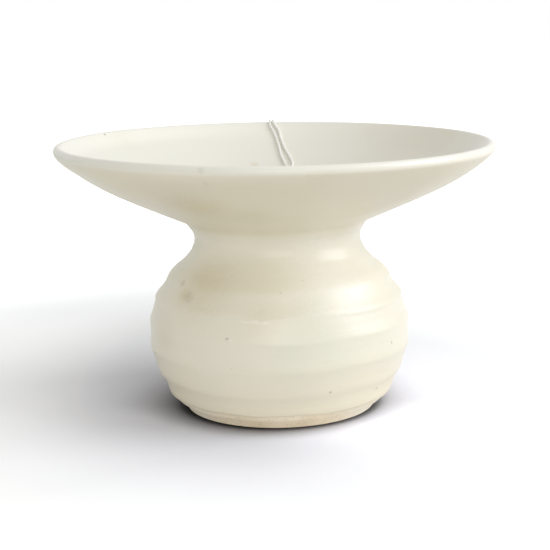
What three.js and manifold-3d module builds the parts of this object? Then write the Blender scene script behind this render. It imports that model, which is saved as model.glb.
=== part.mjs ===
// Pottery vase: a wide flared dish on a narrow neck, over a squat ribbed bulb on a bare clay foot.
// It is thrown in two sections, joined with slip at the neck, and glazed cream inside and out.
// A doubled cotton string lies over the back of the rim.
// Millimetres, +Z up. The origin is the middle of the foot, on the surface that the vase stands on.
// The photographed side faces -Y.

import * as THREE from 'three';
import Module from 'manifold-3d';
import { mergeVertices } from 'three/addons/utils/BufferGeometryUtils.js';

const wasm = await Module();
wasm.setup();

// Finished sizes of the glazed pot
const overallHeight = 147.5;
const rimRadius = 120;
const lipThickness = 5.5;
const lipTurn = THREE.MathUtils.degToRad(40);
const rimUpturn = 7.5;
const upturnPower = 5;
const neckRadius = 46.5;
const neckHeight = 94.8;
const neckFillet = 12;
const bellyRadius = 72.1;
const bellyHeight = 41;
const shoulderFullness = 1.55;
const glazeThickness = 0.7;
const glazeLineHeight = 8.5;
const glazeMeetBelowNeck = 4.8;

// Sizes of the clay under the glaze, and of its bare foot
const footRadius = 53.3;
const footEdge = 1.2;
const footRingWidth = 9;
const footRecess = 2.5;
const footRecessSlope = 1.5;
const floorThickness = 8;
const innerCornerRadius = 10;
const bulbWall = 4.5;

// Rings left by the thrower's fingers round the bulb
const firstRibHeight = 10;
const ribPitch = 13.3;
const ribDepth = 0.7;
const outsideStationsPerRib = 4;
const insideStationsPerRib = 2;

// The stepped joint in the neck
const jointAboveNeck = 5.2;
const tenonHeight = 4;
const tenonThickness = 2.1;
const slipThickness = 1;

// The string and its knot
const stringDiameter = 1.5;
const stringSides = 8;
const stringStepsPerPoint = 2;
const knotRadius = 2.6;
const knotHeight = 5.6;
const knotEdge = 1.1;
const tailLength = 9;
const tailSpread = THREE.MathUtils.degToRad(14);
const knotSegments = 12;

const clearance = 0.3;
const segments = 32;
const filletSteps = 5;
const cornerSteps = 3;
const lipSteps = 6;
const flareFractions = [0.2, 0.4, 0.55, 0.7, 0.8, 0.9];

// Sizes that follow from those above
const skin = glazeThickness + clearance;
const jointHeight = neckHeight + jointAboveNeck;
const glazeMeetHeight = neckHeight - glazeMeetBelowNeck;
const clayBellyRadius = bellyRadius - skin;
const clayNeckRadius = neckRadius - skin;
const clayFillet = neckFillet + skin;
const clayLipRadius = lipThickness / 2 - skin;
const lipCentre = new THREE.Vector2(rimRadius - lipThickness / 2, overallHeight - lipThickness / 2);
const filletCentre = new THREE.Vector2(clayNeckRadius + clayFillet, neckHeight);

const clay = new THREE.MeshStandardMaterial({ color: 0xcbbd9c, roughness: 0.85, metalness: 0 });
const slip = new THREE.MeshStandardMaterial({ color: 0xbfb08e, roughness: 0.9, metalness: 0 });
const creamGlaze = new THREE.MeshStandardMaterial({ color: 0xe9e5d6, roughness: 0.4, metalness: 0 });
const cotton = new THREE.MeshStandardMaterial({ color: 0xf3f1e6, roughness: 0.95, metalness: 0 });

// The bulb's radius at a height: a parabola from the foot to the belly, then an S up to the neck
function bulbRadius(height) {
  if (height < bellyHeight) {
    const lower = (bellyHeight - height) / bellyHeight;
    return footRadius + (clayBellyRadius - footRadius) * (1 - lower ** 2);
  }
  const higher = (height - bellyHeight) / (neckHeight - bellyHeight);
  const turn = Math.PI * Math.min(higher, 1) ** shoulderFullness;
  return clayNeckRadius + (clayBellyRadius - clayNeckRadius) * (1 + Math.cos(turn)) / 2;
}

// How far a throwing ring stands out at a height. The rings fade out at the foot and at the neck.
function ribHeight(height) {
  const fade = Math.min(1, height / firstRibHeight, (neckHeight - height) / ribPitch);
  return ribDepth * Math.max(fade, 0) * Math.cos(2 * Math.PI * (height - firstRibHeight) / ribPitch);
}

// Heights up the bulb, a step apart, between the foot's edge and the neck
function bulbHeights(step) {
  const heights = [footEdge, glazeLineHeight];
  for (let height = firstRibHeight; height < neckHeight - step / 2; height += step) {
    if (height > glazeLineHeight + step / 2) {
      heights.push(height);
    }
  }
  return heights;
}

// The underside of the dish leaves the neck on a round fillet, runs straight out and turns up at the rim
function dishLine() {
  const end = new THREE.Vector2(
    lipCentre.x + clayLipRadius * Math.cos(lipTurn),
    lipCentre.y - clayLipRadius * Math.sin(lipTurn),
  );
  const aim = new THREE.Vector2(end.x, end.y - rimUpturn).sub(filletCentre);
  const flareAngle = aim.angle() - Math.asin(clayFillet / aim.length());
  const filletTurn = Math.PI / 2 - flareAngle;
  const line = [];
  for (let i = 0; i <= filletSteps; i += 1) {
    const turn = filletTurn * i / filletSteps;
    line.push(new THREE.Vector2(
      filletCentre.x - clayFillet * Math.cos(turn),
      filletCentre.y + clayFillet * Math.sin(turn),
    ));
  }
  const start = line[filletSteps];
  const run = end.x - start.x;
  for (const fraction of flareFractions) {
    const rise = Math.tan(flareAngle) * run * fraction + rimUpturn * fraction ** upturnPower;
    line.push(new THREE.Vector2(start.x + run * fraction, start.y + rise));
  }
  line.push(end);
  return line;
}

// The rolled lip: half a circle from the outside of the dish to its inside
function lipLine() {
  const line = [];
  for (let i = 1; i <= lipSteps; i += 1) {
    const turn = Math.PI * i / lipSteps - lipTurn;
    line.push(new THREE.Vector2(
      lipCentre.x + clayLipRadius * Math.cos(turn),
      lipCentre.y + clayLipRadius * Math.sin(turn),
    ));
  }
  return line;
}

// Moves a line to its right, by one distance or by one for each point. A point on the axis stays on it.
function offsetLine(line, distance) {
  return line.map((point, i) => {
    const before = line[Math.max(i - 1, 0)];
    const after = line[Math.min(i + 1, line.length - 1)];
    const along = after.clone().sub(before).normalize();
    const by = Array.isArray(distance) ? distance[i] : distance;
    if (point.x === 0) {
      return new THREE.Vector2(0, point.y - by);
    }
    return new THREE.Vector2(point.x + along.y * by, point.y - along.x * by);
  });
}

// The point where a rising line passes a height
function pointAt(line, height) {
  const next = Math.max(line.findIndex((point) => point.y >= height), 1);
  const [low, high] = [line[next - 1], line[next]];
  return low.clone().lerp(high, (height - low.y) / (high.y - low.y));
}

// The stretch of a rising line between two heights
function between(line, low, high) {
  const inside = line.filter((point) => point.y > low + clearance && point.y < high - clearance);
  return [pointAt(line, low), ...inside, pointAt(line, high)];
}

// The stretch of a rising line above a height
function above(line, low) {
  return [pointAt(line, low), ...line.filter((point) => point.y > low + clearance)];
}

// Turns a profile round the vase's axis. It runs anticlockwise, and closes on itself or on the axis.
function turned(name, profile, material) {
  const points = profile[0].x === 0 ? profile : [...profile, profile[0]];
  const geometry = new THREE.LatheGeometry(points, segments);
  geometry.rotateX(Math.PI / 2);
  const mesh = new THREE.Mesh(geometry, material);
  mesh.name = name;
  return mesh;
}

function at(radius, height) {
  return new THREE.Vector2(radius, height);
}

const neckAndDish = dishLine();
const smoothBulb = bulbHeights(ribPitch / insideStationsPerRib)
  .map((height) => at(bulbRadius(height), height));
const ribbedBulb = bulbHeights(ribPitch / outsideStationsPerRib)
  .map((height) => at(bulbRadius(height) + ribHeight(height), height));
const outside = [...ribbedBulb, ...neckAndDish];

// The inside follows the smooth outside at the wall's thickness, which thins from the throat to the lip
function insideLine() {
  const smooth = [...smoothBulb, ...neckAndDish];
  const throat = smoothBulb.length + filletSteps;
  const lip = smooth.length - 1;
  const walls = smooth.map((point, i) => {
    const towardsLip = Math.max(0, (i - throat) / (lip - throat));
    return -THREE.MathUtils.lerp(bulbWall, 2 * clayLipRadius, towardsLip);
  });
  return offsetLine(smooth, walls).slice(0, lip);
}

// The hollow's floor, its rounded corner and its wall, from the axis out and up
function hollowLine() {
  const cornerTop = floorThickness + innerCornerRadius;
  const wall = above(insideLine(), cornerTop);
  const centre = at(wall[0].x - innerCornerRadius, cornerTop);
  const line = [at(0, floorThickness)];
  for (let i = 0; i < cornerSteps; i += 1) {
    const turn = Math.PI / 2 * (i / cornerSteps - 1);
    line.push(at(
      centre.x + innerCornerRadius * Math.cos(turn),
      centre.y + innerCornerRadius * Math.sin(turn),
    ));
  }
  return [...line, ...wall];
}

const inside = hollowLine();
const tenonTop = jointHeight + tenonHeight;
const tenonRadius = pointAt(inside, jointHeight).x + tenonThickness;
const slipBottom = jointHeight + clearance;
const collarHeight = slipBottom + slipThickness + clearance;

// Foot, floor and ribbed wall, with a tenon round the inner half of the neck's edge
function thrownBulb() {
  const ringInside = footRadius - footEdge - footRingWidth;
  return turned('thrown_bulb', [
    at(0, footRecess),
    at(ringInside - footRecessSlope, footRecess),
    at(ringInside, 0),
    at(footRadius - footEdge, 0),
    ...between(outside, footEdge, jointHeight),
    at(tenonRadius, jointHeight),
    at(tenonRadius, tenonTop),
    pointAt(inside, tenonTop),
    ...inside.filter((point) => point.y < tenonTop - clearance).reverse(),
  ], clay);
}

// The collar that fits over the tenon, and the dish with its rolled lip
function flaredDish() {
  const socketRadius = tenonRadius + clearance;
  const socketTop = tenonTop + clearance;
  return turned('flared_dish', [
    ...above(outside, collarHeight),
    ...lipLine(),
    ...above(inside, socketTop).reverse(),
    at(socketRadius, socketTop),
    at(socketRadius, collarHeight),
  ], clay);
}

// The thin ring of slip on the joint's outer step
function lutingSlip() {
  const slipTop = slipBottom + slipThickness;
  return turned('luting_slip', [
    at(tenonRadius + clearance, slipBottom),
    pointAt(outside, slipBottom),
    pointAt(outside, slipTop),
    at(tenonRadius + clearance, slipTop),
  ], slip);
}

// The coat on the outside, from the glaze line up, over the lip and down the dish into the neck
function outerGlaze() {
  const under = [
    ...above(outside, glazeLineHeight),
    ...lipLine(),
    ...above(inside, glazeMeetHeight + clearance).reverse(),
  ];
  return turned('outer_glaze', [
    ...offsetLine(under, skin),
    ...offsetLine(under, clearance).reverse(),
  ], creamGlaze);
}

// The coat poured inside the bulb, up to the neck
function linerGlaze() {
  const under = inside.filter((point) => point.y < glazeMeetHeight - clearance);
  under.push(pointAt(inside, glazeMeetHeight));
  return turned('liner_glaze', [
    ...offsetLine(under, -clearance),
    ...offsetLine(under, -skin).reverse(),
  ], creamGlaze);
}

// The string's route, chosen by hand: up behind the vase, over the back of the rim, down the dish,
// round its fold and back beside itself. Its points lie closer together round the lip and the fold.
const stringRoute = [
  [-2.8, 121.2, 95.0], [-2.8, 121.2, 112.0], [-2.8, 121.2, 130.0],
  [-2.8, 121.2, 144.8], [-2.8, 120.5, 147.0], [-2.85, 118.6, 148.5], [-2.95, 116.2, 148.6],
  [-3.0, 114.2, 147.5], [-2.7, 112.4, 145.8], [-1.0, 109.4, 143.0], [0.7, 104.6, 139.4],
  [2.4, 97.0, 134.6], [3.6, 88.6, 130.1], [6.1, 78.4, 125.3], [7.3, 73.4, 123.1],
  [7.0, 69.6, 121.4], [6.2, 65.6, 119.6], [6.0, 62.0, 118.0], [6.7, 59.7, 117.0],
  [8.6, 58.2, 116.5], [11.0, 58.2, 116.6], [12.9, 59.7, 117.4], [13.6, 62.0, 118.5],
  [12.9, 66.4, 120.3], [11.2, 70.4, 122.0], [10.1, 74.6, 123.8], [10.4, 79.8, 126.2],
  [8.6, 87.2, 129.7], [5.6, 96.4, 134.4], [3.8, 103.6, 138.9], [2.4, 109.4, 143.2],
  [0.3, 112.8, 146.0], [-0.6, 114.4, 147.5], [-0.75, 116.2, 148.6], [-0.8, 118.6, 148.5],
  [-0.85, 120.5, 147.0], [-0.9, 121.2, 144.8],
  [-0.95, 121.2, 130.0], [-0.95, 121.2, 112.0], [-0.95, 121.2, 95.0],
];

// Its steps follow the route's own points, so that the lip's tight bend gets short ones
class RouteCurve extends THREE.CatmullRomCurve3 {
  getUtoTmapping(u) {
    return u;
  }
}

function tieString() {
  const places = stringRoute.map((place) => new THREE.Vector3(...place));
  const route = new RouteCurve(places, false, 'centripetal');
  const section = new THREE.Shape();
  for (let i = 0; i < stringSides; i += 1) {
    const turn = 2 * Math.PI * i / stringSides;
    const corner = [stringDiameter / 2 * Math.cos(turn), stringDiameter / 2 * Math.sin(turn)];
    if (i === 0) {
      section.moveTo(...corner);
    } else {
      section.lineTo(...corner);
    }
  }
  const geometry = new THREE.ExtrudeGeometry(section, {
    steps: stringStepsPerPoint * (stringRoute.length - 1),
    extrudePath: route,
    bevelEnabled: false,
  });
  const mesh = new THREE.Mesh(geometry, cotton);
  mesh.name = 'tie_string';
  return mesh;
}

function solidOf(geometry) {
  const bare = geometry.clone();
  bare.deleteAttribute('normal');
  bare.deleteAttribute('uv');
  const merged = mergeVertices(bare, 1e-4);
  return new wasm.Manifold(new wasm.Mesh({
    numProp: 3,
    vertProperties: new Float32Array(merged.attributes.position.array),
    triVerts: new Uint32Array(merged.index.array),
  }));
}

function geometryOf(solid) {
  const mesh = solid.getMesh();
  const geometry = new THREE.BufferGeometry();
  geometry.setAttribute('position', new THREE.BufferAttribute(mesh.vertProperties, 3));
  geometry.setIndex(new THREE.BufferAttribute(mesh.triVerts, 1));
  geometry.computeVertexNormals();
  return geometry;
}

// The knot that ties the string's two ends together, with its two short tails
function stringKnot() {
  const [first, last] = [stringRoute[0], stringRoute[stringRoute.length - 1]];
  const half = knotHeight / 2;
  const body = new THREE.LatheGeometry([
    at(0, -half),
    at(knotRadius - knotEdge, -half),
    at(knotRadius, knotEdge - half),
    at(knotRadius, half - knotEdge),
    at(knotRadius - knotEdge, half),
    at(0, half),
  ], knotSegments);
  body.rotateX(Math.PI / 2);
  let knot = solidOf(body);
  for (const side of [-1, 1]) {
    const tail = new THREE.CylinderGeometry(stringDiameter / 2, stringDiameter / 2, tailLength, stringSides);
    tail.rotateX(Math.PI / 2);
    tail.translate(0, 0, -tailLength / 2);
    tail.rotateY(-side * tailSpread);
    tail.translate(side * stringDiameter / 2, 0, 0);
    knot = knot.add(solidOf(tail));
  }
  const mesh = new THREE.Mesh(geometryOf(knot), cotton);
  mesh.position.set((first[0] + last[0]) / 2, first[1], first[2] - clearance - half);
  mesh.name = 'string_knot';
  return mesh;
}

const vase = new THREE.Group();
vase.add(
  thrownBulb(),
  flaredDish(),
  lutingSlip(),
  outerGlaze(),
  linerGlaze(),
  tieString(),
  stringKnot(),
);

export default vase;
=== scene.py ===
import math

import bpy
import numpy as np
from mathutils import Matrix, Vector
from mathutils.bvhtree import BVHTree


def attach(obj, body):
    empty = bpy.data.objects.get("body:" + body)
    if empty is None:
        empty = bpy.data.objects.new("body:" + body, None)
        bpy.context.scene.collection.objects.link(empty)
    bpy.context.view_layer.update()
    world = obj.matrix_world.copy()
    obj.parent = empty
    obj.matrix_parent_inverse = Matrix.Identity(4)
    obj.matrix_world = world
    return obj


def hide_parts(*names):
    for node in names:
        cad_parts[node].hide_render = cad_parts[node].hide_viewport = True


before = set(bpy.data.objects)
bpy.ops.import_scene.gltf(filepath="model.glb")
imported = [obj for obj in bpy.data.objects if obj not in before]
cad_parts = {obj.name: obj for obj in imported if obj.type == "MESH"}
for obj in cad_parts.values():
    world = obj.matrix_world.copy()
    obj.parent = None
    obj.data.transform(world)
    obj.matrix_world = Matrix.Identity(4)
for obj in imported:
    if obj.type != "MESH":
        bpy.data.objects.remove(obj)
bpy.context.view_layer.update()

# Thrown bulb
# A squat bulb of buff stoneware, thrown on the wheel with the fingers' rings left on its wall, and a foot
# ring trimmed underneath. Its foot stays bare; the rest of the clay lies under the glaze.

# Sizes in millimetres, from the wheel's axis and from the surface that the vase stands on
MM = 0.001
OVERALL_HEIGHT = 147.5
RIM_RADIUS = 120.0
LIP_THICKNESS = 5.5
LIP_TURN = math.radians(40)
RIM_UPTURN = 7.5
UPTURN_POWER = 5
NECK_RADIUS = 46.5
NECK_HEIGHT = 94.8
NECK_FILLET = 12.0
BELLY_RADIUS = 72.1
BELLY_HEIGHT = 41.0
SHOULDER_FULLNESS = 1.55
FOOT_RADIUS = 53.3
FOOT_EDGE = 1.2
FOOT_BEVEL = 0.4
FOOT_RING_WIDTH = 9.0
FOOT_RECESS = 2.5
FOOT_RECESS_SLOPE = 1.5
FLOOR_THICKNESS = 8.0
INNER_CORNER = 10.0
BULB_WALL = 4.5
SKIN = 1.0
UNDERSIDE_GAP = 0.3
JOINT_HEIGHT = 100.0
TENON_HEIGHT = 4.0
TENON_THICKNESS = 2.1
CORNER_SOFTENING = 0.6
SHARP_TURN = math.radians(20)

# How finely the profiles are drawn
STATION = 0.8
SEGMENTS = 192
FILLET_POINTS = 24
DISH_POINTS = 60
LIP_POINTS = 17
INNER_CORNER_POINTS = 12
SOFT_CORNER_STEPS = 4
FLOOR_STATIONS = (0, 12, 24, 36)
RECESS_STATIONS = (0, 15, 30)
CUT_CLEARANCE = 0.05

CLAY_BELLY = BELLY_RADIUS - SKIN
CLAY_NECK = NECK_RADIUS - SKIN
CLAY_FILLET = NECK_FILLET + SKIN
CLAY_LIP = LIP_THICKNESS / 2 - SKIN
LIP_CENTRE = np.array([RIM_RADIUS - LIP_THICKNESS / 2, OVERALL_HEIGHT - LIP_THICKNESS / 2])


def bulb_radius(height):
    if height < BELLY_HEIGHT:
        lower = (BELLY_HEIGHT - height) / BELLY_HEIGHT
        return FOOT_RADIUS + (CLAY_BELLY - FOOT_RADIUS) * (1 - lower ** 2)
    higher = min((height - BELLY_HEIGHT) / (NECK_HEIGHT - BELLY_HEIGHT), 1)
    turn = math.pi * higher ** SHOULDER_FULLNESS
    return CLAY_NECK + (CLAY_BELLY - CLAY_NECK) * (1 + math.cos(turn)) / 2


def dish_line():
    end = LIP_CENTRE + CLAY_LIP * np.array([math.cos(LIP_TURN), -math.sin(LIP_TURN)])
    centre = np.array([CLAY_NECK + CLAY_FILLET, NECK_HEIGHT])
    aim = end - [0, RIM_UPTURN] - centre
    flare = math.atan2(aim[1], aim[0]) - math.asin(CLAY_FILLET / np.hypot(*aim))
    turns = np.linspace(0, math.pi / 2 - flare, FILLET_POINTS)
    fillet = centre + CLAY_FILLET * np.stack([-np.cos(turns), np.sin(turns)], 1)
    along = np.linspace(0, 1, DISH_POINTS)[1:]
    run = end[0] - fillet[-1, 0]
    rise = math.tan(flare) * run * along + RIM_UPTURN * along ** UPTURN_POWER
    return np.concatenate([fillet, fillet[-1] + np.stack([run * along, rise], 1)])


def lip_line():
    turns = np.linspace(0, math.pi, LIP_POINTS)[1:] - LIP_TURN
    return LIP_CENTRE + CLAY_LIP * np.stack([np.cos(turns), np.sin(turns)], 1)


# Moves a line to its right by one distance, or by one for each point; a point on the axis stays on it
def beside(line, distance):
    along = np.gradient(line, axis=0)
    along /= np.linalg.norm(along, axis=1)[:, None]
    moved = line + np.stack([along[:, 1], -along[:, 0]], 1) * np.reshape(distance, (-1, 1))
    moved[line[:, 0] == 0, 0] = 0
    return moved


def up_from(line, height):
    cut = np.interp(height, line[:, 1], line[:, 0])
    return np.concatenate([[[cut, height]], line[line[:, 1] > height + CUT_CLEARANCE]])


def up_to(line, height):
    cut = np.interp(height, line[:, 1], line[:, 0])
    return np.concatenate([line[line[:, 1] < height - CUT_CLEARANCE], [[cut, height]]])


# Rounds off a profile's sharp corners; each takes a little under half of its shorter side at most
def softened(line):
    soft = [line[0]]
    for before, corner, after in zip(line[:-2], line[1:-1], line[2:]):
        back, ahead = before - corner, after - corner
        reach = [np.linalg.norm(back), np.linalg.norm(ahead)]
        turn = math.acos(np.clip(-np.dot(back, ahead) / (reach[0] * reach[1]), -1, 1))
        if turn < SHARP_TURN:
            soft.append(corner)
            continue
        cut = min(CORNER_SOFTENING, min(reach) / 2.1)
        start, end = corner + back / reach[0] * cut, corner + ahead / reach[1] * cut
        for share in np.linspace(0, 1, SOFT_CORNER_STEPS + 1):
            soft.append(start * (1 - share) ** 2 + corner * 2 * share * (1 - share) + end * share ** 2)
    return np.array(soft + [line[-1]])


bulb_heights = np.arange(FOOT_EDGE, NECK_HEIGHT - STATION / 2, STATION)
outside = np.concatenate([[[bulb_radius(z), z] for z in bulb_heights], dish_line()])

# The inside follows the outside at the wall's thickness, which thins from the throat to the lip
throat = len(bulb_heights) + FILLET_POINTS - 1
thinning = np.clip((np.arange(len(outside)) - throat) / (len(outside) - 1 - throat), 0, 1)
inside_clay = beside(outside, -(BULB_WALL + (2 * CLAY_LIP - BULB_WALL) * thinning))[:-1]
wall = up_from(inside_clay, FLOOR_THICKNESS + INNER_CORNER)
corner_turns = np.linspace(-math.pi / 2, 0, INNER_CORNER_POINTS, endpoint=False)
corner_centre = wall[0] - [INNER_CORNER, 0]
hollow = np.concatenate([
    [[radius, FLOOR_THICKNESS] for radius in FLOOR_STATIONS],
    corner_centre + INNER_CORNER * np.stack([np.cos(corner_turns), np.sin(corner_turns)], 1),
    wall,
])


# One node, with its settings and a value or a link for each input named. A Map Range has its value at 0,
# what it comes from at 1 and 2, and what it goes to at 3 and 4
def add(tree, kind, inputs=None, **settings):
    made = tree.nodes.new(kind)
    for name, value in settings.items():
        setattr(made, name, value)
    for key, value in (inputs or {}).items():
        if isinstance(value, bpy.types.NodeSocket):
            tree.links.new(value, made.inputs[key])
        else:
            made.inputs[key].default_value = value
    return made


def linear(hex_colour):
    channels = [int(hex_colour[i:i + 2], 16) / 255 for i in (1, 3, 5)]
    return [c / 12.92 if c <= 0.04045 else ((c + 0.055) / 1.055) ** 2.4 for c in channels] + [1]


def new_object(name, data):
    made = bpy.data.objects.new(name, data)
    bpy.context.scene.collection.objects.link(made)
    return made


# A geometry tree and its inputs, which are given as a name, a kind and a value each
def new_geometry_tree(name, sockets):
    tree = bpy.data.node_groups.new(name, "GeometryNodeTree")
    for label, kind, value in sockets:
        socket = tree.interface.new_socket(name=label, in_out="INPUT", socket_type="NodeSocket" + kind)
        if value is not None:
            socket.default_value = value
    tree.interface.new_socket(name="Geometry", in_out="OUTPUT", socket_type="NodeSocketGeometry")
    return tree, add(tree, "NodeGroupInput").outputs


def end_geometry_tree(tree, shape, material):
    shape = add(tree, "GeometryNodeSetShadeSmooth", {"Geometry": shape}).outputs[0]
    shape = add(tree, "GeometryNodeRealizeInstances", {"Geometry": shape}).outputs[0]
    shape = add(tree, "GeometryNodeSetMaterial", {"Geometry": shape, "Material": material}).outputs[0]
    add(tree, "NodeGroupOutput", {"Geometry": shape})
    return tree


# The rings on the wall: how far it stands out, in millimetres, at heights in millimetres
RINGS_TOP = 110.0
RING_RANGE = 4.0
RINGS = [
    (0, 0.0), (3, -1.2), (6, 0.5), (9, 0.4), (12, -0.1), (17, -1.1), (21.5, -0.2), (24, -0.3), (27.5, -0.5),
    (34.5, 0.5), (38, 0.2), (43, -0.2), (50.5, 0.3), (53, -0.4), (57, -0.9), (62.5, 0.2), (65, -0.2),
    (69, -1.1), (76.5, 0.9), (80, -0.1), (85, -1.1), (89.5, -0.7), (95, -0.5), (99, -0.2), (101.5, 0.2),
    (104, -0.1), (110, 0.0),
]
CRESTS = (34.5, 50.5, 62.5)
FINE_RING_PITCH = 4.4
# The side where the glaze ran thick, how narrow it is, and how far out the glaze line moves as it slides
CALM_SIDE = (-0.45, -0.89, 0)
CALM_NARROWNESS = 3.0
LINE_SLOPE = 0.7
# How much the noise changes over the radius of a circle round the pot, and over a metre of height
NOISE_ROUND = 1.1
NOISE_UP = 20.0
WELD = 0.002


# Turns a profile round the axis, then gives it what a hand on the wheel leaves: rings that wander up
# and down, a wall that isn't quite round, a slight lean and an uneven rim
def wheel_tree():
    tree, given = new_geometry_tree("thrown_on_the_wheel", [
        ("Profile", "Geometry", None), ("Segments", "Int", SEGMENTS), ("Ring wander", "Float", 1.6 * MM),
        ("Fine rings", "Float", 0.03 * MM), ("Calm side", "Vector", CALM_SIDE), ("Calm share", "Float", 0.6),
        ("Out of round", "Float", 0.3 * MM), ("Lean", "Float", 0.02), ("Foot shift", "Float", 0.15 * MM),
        ("Rim tilt", "Float", 0.009), ("Rim waver", "Float", 0.35 * MM), ("Lip fullness", "Float", 0.8 * MM),
        ("Glaze line waver", "Float", 0.8 * MM), ("Seed", "Float", 3.0), ("Material", "Material", None),
    ])

    # A grid with the profile along each of its columns, turned round and joined where it meets itself
    profile = given["Profile"]
    count = add(tree, "GeometryNodeAttributeDomainSize", {"Geometry": profile}).outputs["Point Count"]
    columns = add(tree, "ShaderNodeMath", {0: given["Segments"], 1: 1.0}, operation="ADD").outputs[0]
    grid = add(tree, "GeometryNodeMeshGrid", {"Vertices X": columns, "Vertices Y": count}).outputs["Mesh"]
    index = add(tree, "GeometryNodeInputIndex").outputs[0]
    station = add(tree, "ShaderNodeMath", {0: index, 1: count}, operation="MODULO").outputs[0]
    place = add(tree, "GeometryNodeInputPosition").outputs[0]
    length = add(tree, "GeometryNodeInputNamedAttribute", {"Name": "along"}, data_type="FLOAT").outputs[0]
    corner, along = [
        add(tree, "GeometryNodeSampleIndex", {"Geometry": profile, "Value": value, "Index": station},
            data_type=kind, domain="POINT").outputs[0]
        for value, kind in ((place, "FLOAT_VECTOR"), (length, "FLOAT"))
    ]
    turn = index
    for operation, value in (("DIVIDE", count), ("FLOOR", 0.0), ("DIVIDE", given["Segments"]),
                             ("MULTIPLY", 2 * math.pi)):
        turn = add(tree, "ShaderNodeMath", {0: turn, 1: value}, operation=operation).outputs[0]
    spun = add(tree, "ShaderNodeVectorRotate", {"Vector": corner, "Angle": turn},
               rotation_type="Z_AXIS").outputs[0]
    shell = add(tree, "GeometryNodeSetPosition", {"Geometry": grid, "Position": spun}).outputs[0]
    shell = add(tree, "GeometryNodeStoreNamedAttribute", {"Geometry": shell, "Name": "along", "Value": along},
                data_type="FLOAT", domain="POINT").outputs[0]
    shell = add(tree, "GeometryNodeMergeByDistance", {"Geometry": shell, "Distance": WELD * MM}).outputs[0]

    split = add(tree, "ShaderNodeSeparateXYZ", {0: place}).outputs
    height = split[2]
    flat = add(tree, "ShaderNodeCombineXYZ", {0: split[0], 1: split[1]}).outputs[0]
    outwards = add(tree, "ShaderNodeVectorMath", {0: flat}, operation="NORMALIZE").outputs[0]
    radius = add(tree, "ShaderNodeVectorMath", {0: flat}, operation="LENGTH").outputs["Value"]

    # Noise is read on a circle round the axis, so that it closes on itself, and changes slowly with height.
    # Each kind has its place, seed, scale and detail, and the least and the most that it comes to
    rise = add(tree, "ShaderNodeCombineXYZ", {2: height}).outputs[0]
    slow_rise = add(tree, "ShaderNodeVectorMath", {0: rise, "Scale": NOISE_UP}, operation="SCALE").outputs[0]
    circle = add(tree, "ShaderNodeVectorMath", {0: outwards, "Scale": NOISE_ROUND},
                 operation="SCALE").outputs[0]
    ring_place = add(tree, "ShaderNodeVectorMath", {0: circle, 1: slow_rise}, operation="ADD").outputs[0]
    noise = {}
    for name, where, seed, scale, detail, least, most in (
        ("waver", ring_place, given["Seed"], 1.0, 1.0, -1.0, 1.0),
        ("strength", ring_place, 40.0, 1.6, 1.0, 0.6, 1.3),
        ("out of round", ring_place, 11.0, 0.7, 2.0, -1.0, 1.0),
        ("glaze line", circle, 23.0, 2.6, 3.0, -1.0, 1.0),
        ("rim", circle, 31.0, 0.9, 1.0, -1.0, 0.2),
    ):
        inputs = {"Vector": where, "W": seed, "Scale": scale, "Detail": detail}
        drawn = add(tree, "ShaderNodeTexNoise", inputs, noise_dimensions="4D").outputs[0]
        noise[name] = add(tree, "ShaderNodeMapRange",
                          {0: drawn, 1: 0.25, 2: 0.75, 3: least, 4: most}).outputs[0]

    # Where each thing starts and where it is full, in millimetres of height or from the axis
    zone = {}
    for name, measure, start, full in (
        ("above foot", height, 2, 25), ("upper half", height, 28, 50), ("wall", radius, 30, 45),
        ("up to line", height, 3, 7), ("down to line", height, 15, 9), ("dish", height, 100, 145),
        ("up to lip", height, 133, 140.5), ("down to lip", height, 146, 141),
        ("outer dish", radius, 100, 110),
    ):
        zone[name] = add(tree, "ShaderNodeMapRange", {0: measure, 1: start * MM, 2: full * MM},
                         interpolation_type="SMOOTHSTEP").outputs[0]

    waver = add(tree, "ShaderNodeMath", {0: noise["waver"], 1: zone["above foot"]},
                operation="MULTIPLY").outputs[0]
    shift = add(tree, "ShaderNodeMath", {0: waver, 1: given["Ring wander"], 2: height},
                operation="MULTIPLY_ADD").outputs[0]
    share_up = add(tree, "ShaderNodeMath", {0: shift, 1: RINGS_TOP * MM}, operation="DIVIDE").outputs[0]
    curve = add(tree, "ShaderNodeFloatCurve", {"Value": share_up})
    curve.mapping.extend = "HORIZONTAL"
    points = curve.mapping.curves[0].points
    for i, (ring_height, relief) in enumerate(RINGS):
        spot = (ring_height / RINGS_TOP, 0.5 + relief / RING_RANGE)
        point = points[i] if i < 2 else points.new(*spot)
        point.location = spot
        point.handle_type = "VECTOR" if ring_height in CRESTS else "AUTO"
    curve.mapping.update()
    relief = add(tree, "ShaderNodeMath", {0: curve.outputs[0], 1: 0.5}, operation="SUBTRACT").outputs[0]
    relief = add(tree, "ShaderNodeMath", {0: relief, 1: RING_RANGE * MM}, operation="MULTIPLY").outputs[0]
    # The fingertips left finer rings between the wide ones
    below_dish = add(tree, "ShaderNodeMapRange", {0: height, 1: 96 * MM, 2: 86 * MM}).outputs[0]
    fine = shift
    for operation, value in (("MULTIPLY", 2 * math.pi / (FINE_RING_PITCH * MM)), ("SINE", 0.0),
                             ("MULTIPLY", below_dish)):
        fine = add(tree, "ShaderNodeMath", {0: fine, 1: value}, operation=operation).outputs[0]
    relief = add(tree, "ShaderNodeMath", {0: fine, 1: given["Fine rings"], 2: relief},
                 operation="MULTIPLY_ADD").outputs[0]
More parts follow.
